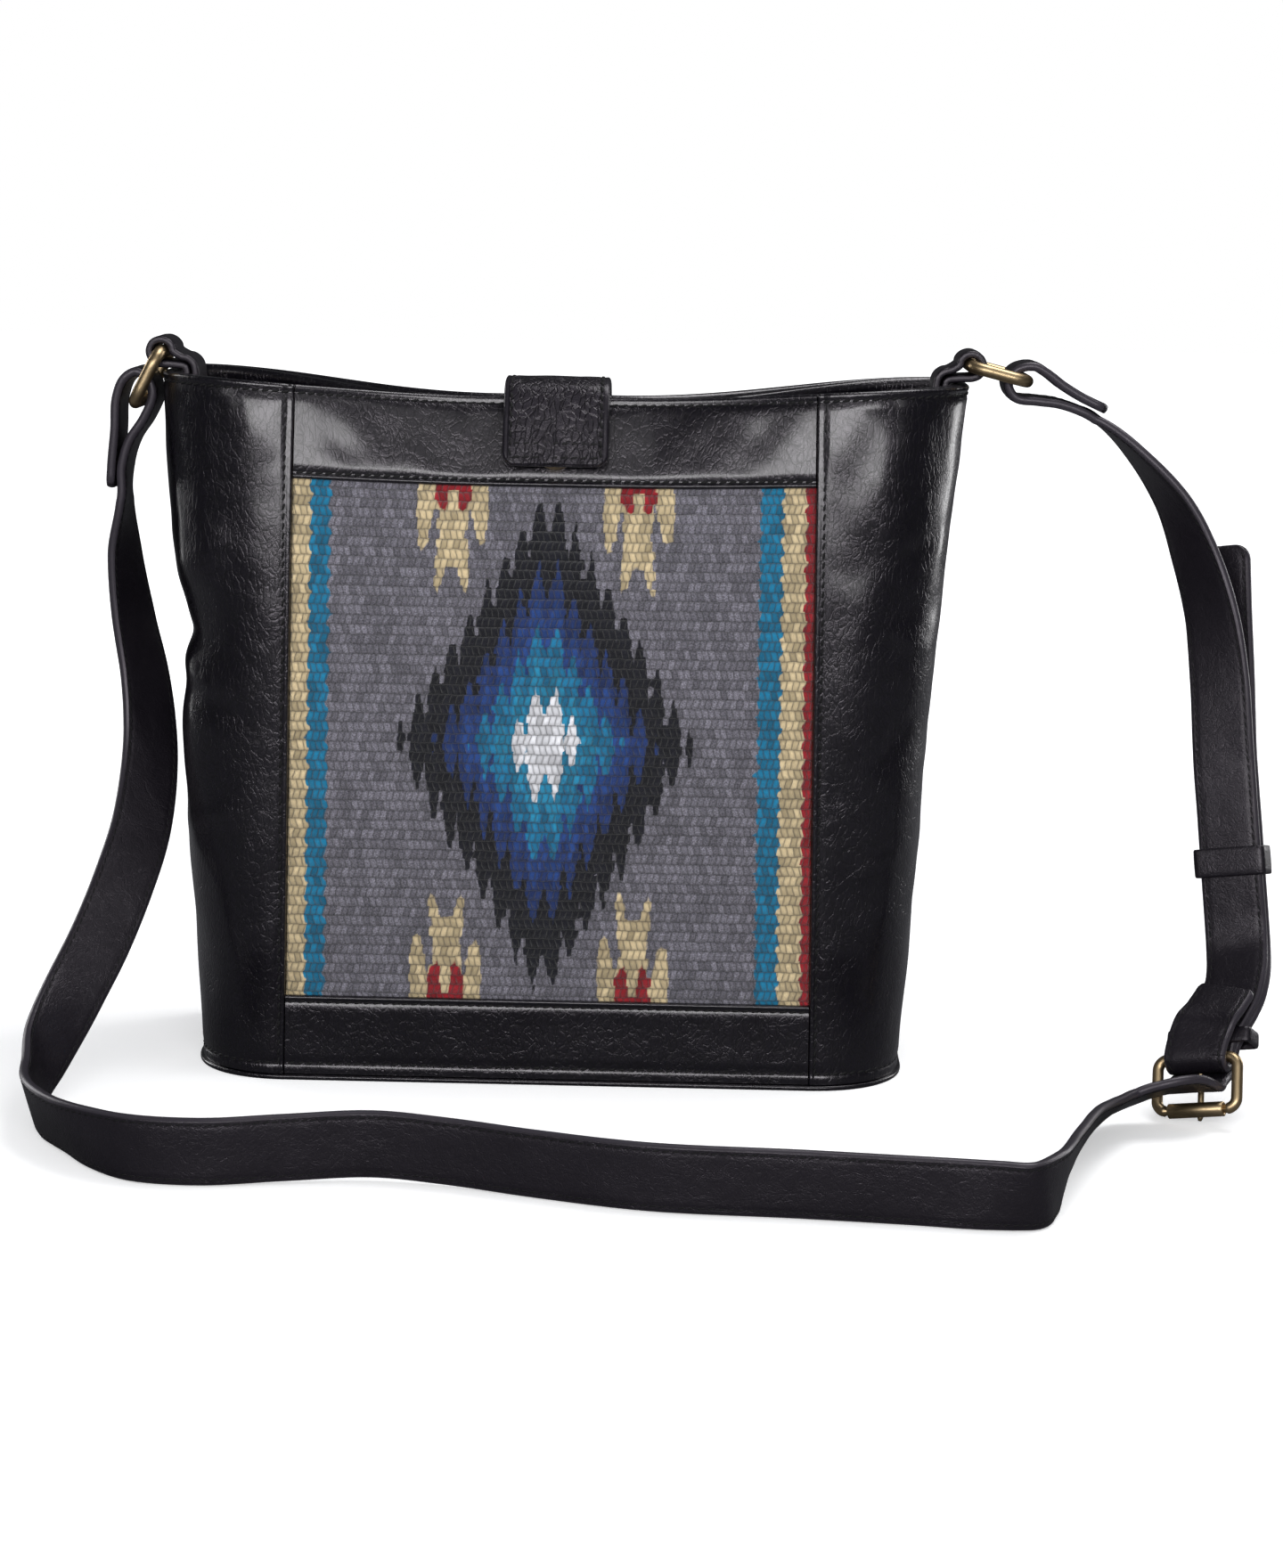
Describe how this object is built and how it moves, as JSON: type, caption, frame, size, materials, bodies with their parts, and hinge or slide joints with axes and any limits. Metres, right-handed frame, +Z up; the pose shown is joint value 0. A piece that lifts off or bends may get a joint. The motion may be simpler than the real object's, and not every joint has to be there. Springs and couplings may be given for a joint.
{
  "type": "crossbody bag",
  "caption": "Open-topped black leather crossbody bag with a woven wool front panel, a snap closure tab and a buckled leather strap lying on the ground.",
  "frame": {"origin": "on the ground, under the middle of the bag's base", "axes": "+Z up, -Y towards the woven front, +X along the bag's width to the buckle's side"},
  "size_m": [0.4678, 0.2753, 0.2812],
  "materials": {
    "black_leather": "smooth, semi-gloss",
    "wool_weave": "ribbed wool",
    "brass": "brushed",
    "lining_cloth": "plain weave",
    "stiff_board": "raw fibre board"
  },
  "bodies": {
    "bag": {"front_woven_panel": "wool_weave", "front_top_band": "black_leather", "front_bottom_band": "black_leather", "side_panel_left": "black_leather", "side_panel_right": "black_leather", "back_panel": "black_leather", "base_panel": "black_leather", "base_stiffener": "stiff_board", "lining": "lining_cloth", "rim_facing": "black_leather", "snap_half_band": "brass", "ring_tab_left": "black_leather", "ring_tab_right": "black_leather", "strap_long": "black_leather", "strap_short": "black_leather", "buckle_frame": "brass", "keeper_lower": "black_leather"},
    "closure_tab": {"closure_tab": "black_leather", "snap_half_tab": "brass"},
    "ring_left": {"ring_left": "brass"},
    "ring_right": {"ring_right": "brass"},
    "buckle_roller": {"buckle_roller": "brass"},
    "buckle_prong": {"buckle_prong": "brass"},
    "keeper_upper": {"keeper_upper": "black_leather"}
  },
  "joints": [
    {"name": "closure_tab_lift", "type": "hinge", "parent": "bag", "child": "closure_tab", "pos_m": [0, 0.00068, 0.25965], "axis": [-1, 0, 0], "range_deg": [0, 115]},
    {"name": "ring_left_swing", "type": "hinge", "parent": "bag", "child": "ring_left", "pos_m": [-0.153, 0, 0.2753], "axis": [0, 1, 0], "range_deg": [-5, 110], "deforming": ["strap_long"]},
    {"name": "ring_right_swing", "type": "hinge", "parent": "bag", "child": "ring_right", "pos_m": [0.1575, 0, 0.2753], "axis": [0, -1, 0], "range_deg": [-50, 50], "deforming": ["strap_short"]},
    {"name": "buckle_roller_turn", "type": "hinge", "parent": "bag", "child": "buckle_roller", "pos_m": [0.244, -0.0905, 0.0064], "axis": [0.8703, -0.4501, 0.2001], "continuous": true},
    {"name": "buckle_prong_lift", "type": "hinge", "parent": "bag", "child": "buckle_prong", "pos_m": [0.24527, -0.0804, 0.02362], "axis": [0.8703, -0.4501, 0.2001], "range_deg": [0, 20], "deforming": ["strap_long"]},
    {"name": "keeper_upper_slide", "type": "slide", "parent": "bag", "child": "keeper_upper", "axis": [-0.0802, 0.2379, 0.968], "range_m": [-0.012, 0.012]}
  ]
}
